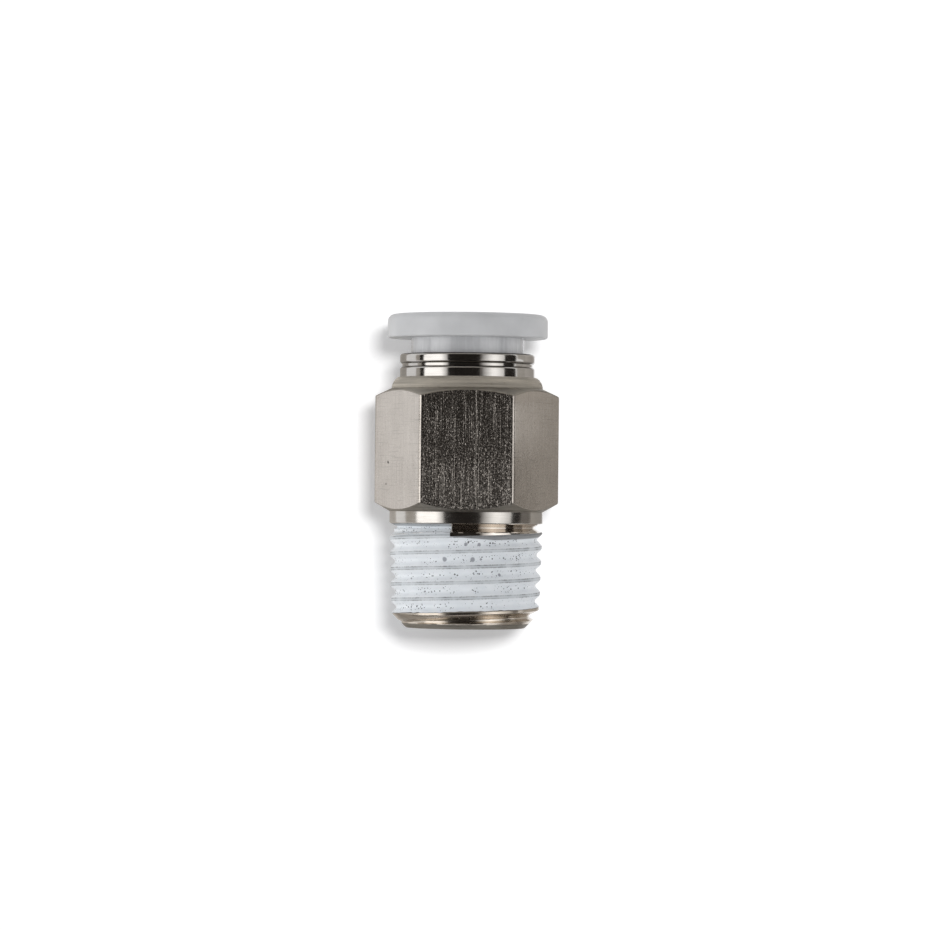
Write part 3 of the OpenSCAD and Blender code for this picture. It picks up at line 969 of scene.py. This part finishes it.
paper_white = bpy.data.materials.new("paper_white")
paper_white.use_nodes = True
tree = paper_white.node_tree
tree.nodes.clear()
glow_level = math_node(tree, "MULTIPLY", seen_white(tree), paper_glow)
glow = place(tree, "ShaderNodeEmission", {"Strength": glow_level})
chalk = place(tree, "ShaderNodeBsdfDiffuse", {"Color": (0.85, 0.85, 0.85, 1)})
lit = place(tree, "ShaderNodeAddShader", {0: chalk.outputs[0], 1: glow.outputs[0]})
behind = place(tree, "ShaderNodeNewGeometry").outputs["Backfacing"]
clear = place(tree, "ShaderNodeBsdfTransparent")
sheet = place(tree, "ShaderNodeMixShader", {0: behind, 1: lit.outputs[0], 2: clear.outputs[0]})
tree.links.new(sheet.outputs[0], place(tree, "ShaderNodeOutputMaterial").inputs["Surface"])
paper_ends = (-paper_half, paper_half)
paper = stage_sheet("paper", [(x, paper_y, z) for x in paper_ends for z in paper_ends], paper_white)

# Studio: two soft boxes low in front on either side light the fitting, and a small lamp by the camera
# lights the paper. Cards that only reflections see shape the metal: a black one round the camera, dim
# ones behind the boxes, small ones close to the collar and the ring, and some that lie on the paper.


def card_paint(name, colour):
    """The flat paint of a card."""
    return new_material(name, Roughness=1.0, Base_Color=(*colour, 1))[0]


card_black = card_paint("card_black", (0.014, 0.0105, 0.0075))
card_dim = card_paint("card_dim", (0.26, 0.24, 0.22))
card_shade = card_paint("card_shade", (0.5, 0.47, 0.43))
card_grey = card_paint("card_grey", (0.68, 0.64, 0.585))
card_pale = card_paint("card_pale", (0.84, 0.79, 0.73))


def bearing(degrees, distance, z):
    """A point round the axis, at an angle from the camera's side towards the right."""
    angle = math.radians(degrees)
    return Vector((distance * math.sin(angle), -distance * math.cos(angle), z))


def mirror_card(name, corners, material):
    """A card that shows in reflections and nowhere else."""
    card = stage_sheet(name, corners, material)
    card.visible_camera = False
    card.visible_diffuse = False
    card.visible_shadow = False
    card.visible_transmission = False


def curved_card(name, distance, bearings, heights, material):
    """A curved card round the axis, between two bearings and two heights."""
    stops = np.linspace(*bearings, 13)
    mirror_card(name, [bearing(degrees, distance, z) for degrees in stops for z in heights], material)


camera_card_away = 300
behind_away = 520
behind_heights = (-420, 420)
near_away = 25
collar_heights = (3, 16)
ring_heights = (16, 30)
curved_card("card_camera", camera_card_away, (-34, 21), (-260, 300), card_black)
curved_card("card_behind_left", behind_away, (-84, -28), behind_heights, card_dim)
curved_card("card_behind_right", behind_away, (16, 92), behind_heights, card_dim)
curved_card("card_left_low", near_away, (-92, -72), collar_heights, card_grey)
curved_card("card_right_low", near_away, (63, 79), collar_heights, card_black)
curved_card("card_right_edge", near_away, (79, 100), collar_heights, card_dim)
curved_card("card_left_rim", near_away, (-89, -80), ring_heights, card_grey)
curved_card("card_left_high", near_away, (-80, -73), ring_heights, card_black)
curved_card("card_right_high", near_away, (59, 80), ring_heights, card_black)

level_half = 200
for name, z, material in (("card_above", 180, card_grey), ("card_below", -150, card_black)):
    corners = [(x, y, z) for x in (-level_half, level_half) for y in (-level_half, 0)]
    mirror_card(name, corners, material)

card_lift = 0.1


def lying_card(name, across, along, material, lift=card_lift):
    """A card that lies on the paper, between two places across the fitting and two along it."""
    mirror_card(name, [(x, paper_y - lift, z) for x in across for z in along], material)


# These cards are darker than the paper: painted shade of the paper, seen only in reflections
lying_card("card_foot", (-45, 45), (-34, -14), card_dim)
lying_card("card_side_foot", (-30, -6), (-14, -2), card_shade)
lying_card("card_foot_right", (3, 30), (-14, -5), card_dim, 2 * card_lift)
lying_card("card_side_low", (-17, -6), (-2, 14), card_pale)
lying_card("card_side", (-17, -6), (14, 32), card_grey)
lying_card("card_paper", (9, 32), (-20, 21.8), card_grey)
lying_card("card_paper_low", (32, 60), (-20, 15), card_shade)
lying_card("card_paper_high", (9, 25), (21.8, 50), card_pale)
lying_card("card_paper_top", (25, 140), (21.8, 50), card_grey)

object_middle = Vector((0, 0, 14))
edge_glow = 0.12


def lamp_sheet(name, degrees, distance, height, size, radiance, paper_state, hot=(0, 1)):
    """A rectangular lamp that faces the fitting, fully bright over the hot part of its width."""
    lamp = bpy.data.lights.new(name, "AREA")
    lamp.shape = "RECTANGLE"
    lamp.size, lamp.size_y = size[0] * MM, size[1] * MM
    lamp.energy = radiance * math.pi * lamp.size * lamp.size_y
    lamp.use_nodes = True
    tree = lamp.node_tree
    face = place(tree, "ShaderNodeNewGeometry").outputs["Parametric"]
    across = place(tree, "ShaderNodeSeparateXYZ", {0: face}).outputs["X"]
    strength = 1.0
    for edge, full in zip((0, 1), hot):
        if edge != full:
            fade = spread(tree, across, edge, full, edge_glow)
            strength = math_node(tree, "MULTIPLY", fade, strength)
            tree.links.new(strength, tree.nodes["Emission"].inputs["Strength"])
    box = bpy.data.objects.new(name, lamp)
    scene.collection.objects.link(box)
    box.location = bearing(degrees, distance, height) * MM
    box.rotation_euler = (box.location - object_middle * MM).to_track_quat("Z", "Y").to_euler()
    box.visible_camera = False
    receivers = bpy.data.collections.new(name + "_receivers")
    receivers.objects.link(paper)
    receivers.collection_objects[0].light_linking.link_state = paper_state
    box.light_linking.receiver_collection = receivers
    return box


box_away = 400
box_height = -45
box_tall = 640
lamp_sheet("soft_box_left", -56, box_away, box_height, (360, box_tall), 1.8, "EXCLUDE", (0, 0.71))
lamp_sheet("soft_box_right", 52, box_away, box_height, (430, box_tall), 1.45, "EXCLUDE", (0.36, 0.46))
lamp_away = 1200
lamp_height = 190
paper_lamp = lamp_sheet("paper_lamp", 9, lamp_away, lamp_height, (240, 165), 78, "INCLUDE")
paper_lamp.visible_glossy = False

world = bpy.data.worlds.new("studio")
scene.world = world
world.use_nodes = True
tree = world.node_tree
sky = tone(tree, seen_white(tree), (0.35, 0.35, 0.36), (1, 1, 1))
tree.links.new(sky, tree.nodes["Background"].inputs["Color"])

# Camera: it stands square to one flat, level with the lower part of the hexagon, and is turned a little
# about its line of sight. Its lens and tilt follow from the picture's scale and its eye level.
camera = bpy.data.objects.new("camera", bpy.data.cameras.new("camera"))
scene.collection.objects.link(camera)
eye = Vector((-0.115, -350, 11.6))
frame_px = 930
eye_level_px = 495
px_per_mm = 11.43
camera.location = eye * MM
camera.data.sensor_width = 36
camera.data.lens = camera.data.sensor_width * px_per_mm * -eye.y / frame_px
pitch = math.atan((eye_level_px - frame_px / 2) / px_per_mm / -eye.y)
roll = math.radians(-0.54)
camera.rotation_euler = (math.pi / 2 + pitch, roll, 0)
camera.data.clip_start = 0.01
scene.camera = camera
scene.view_settings.view_transform = "Standard"
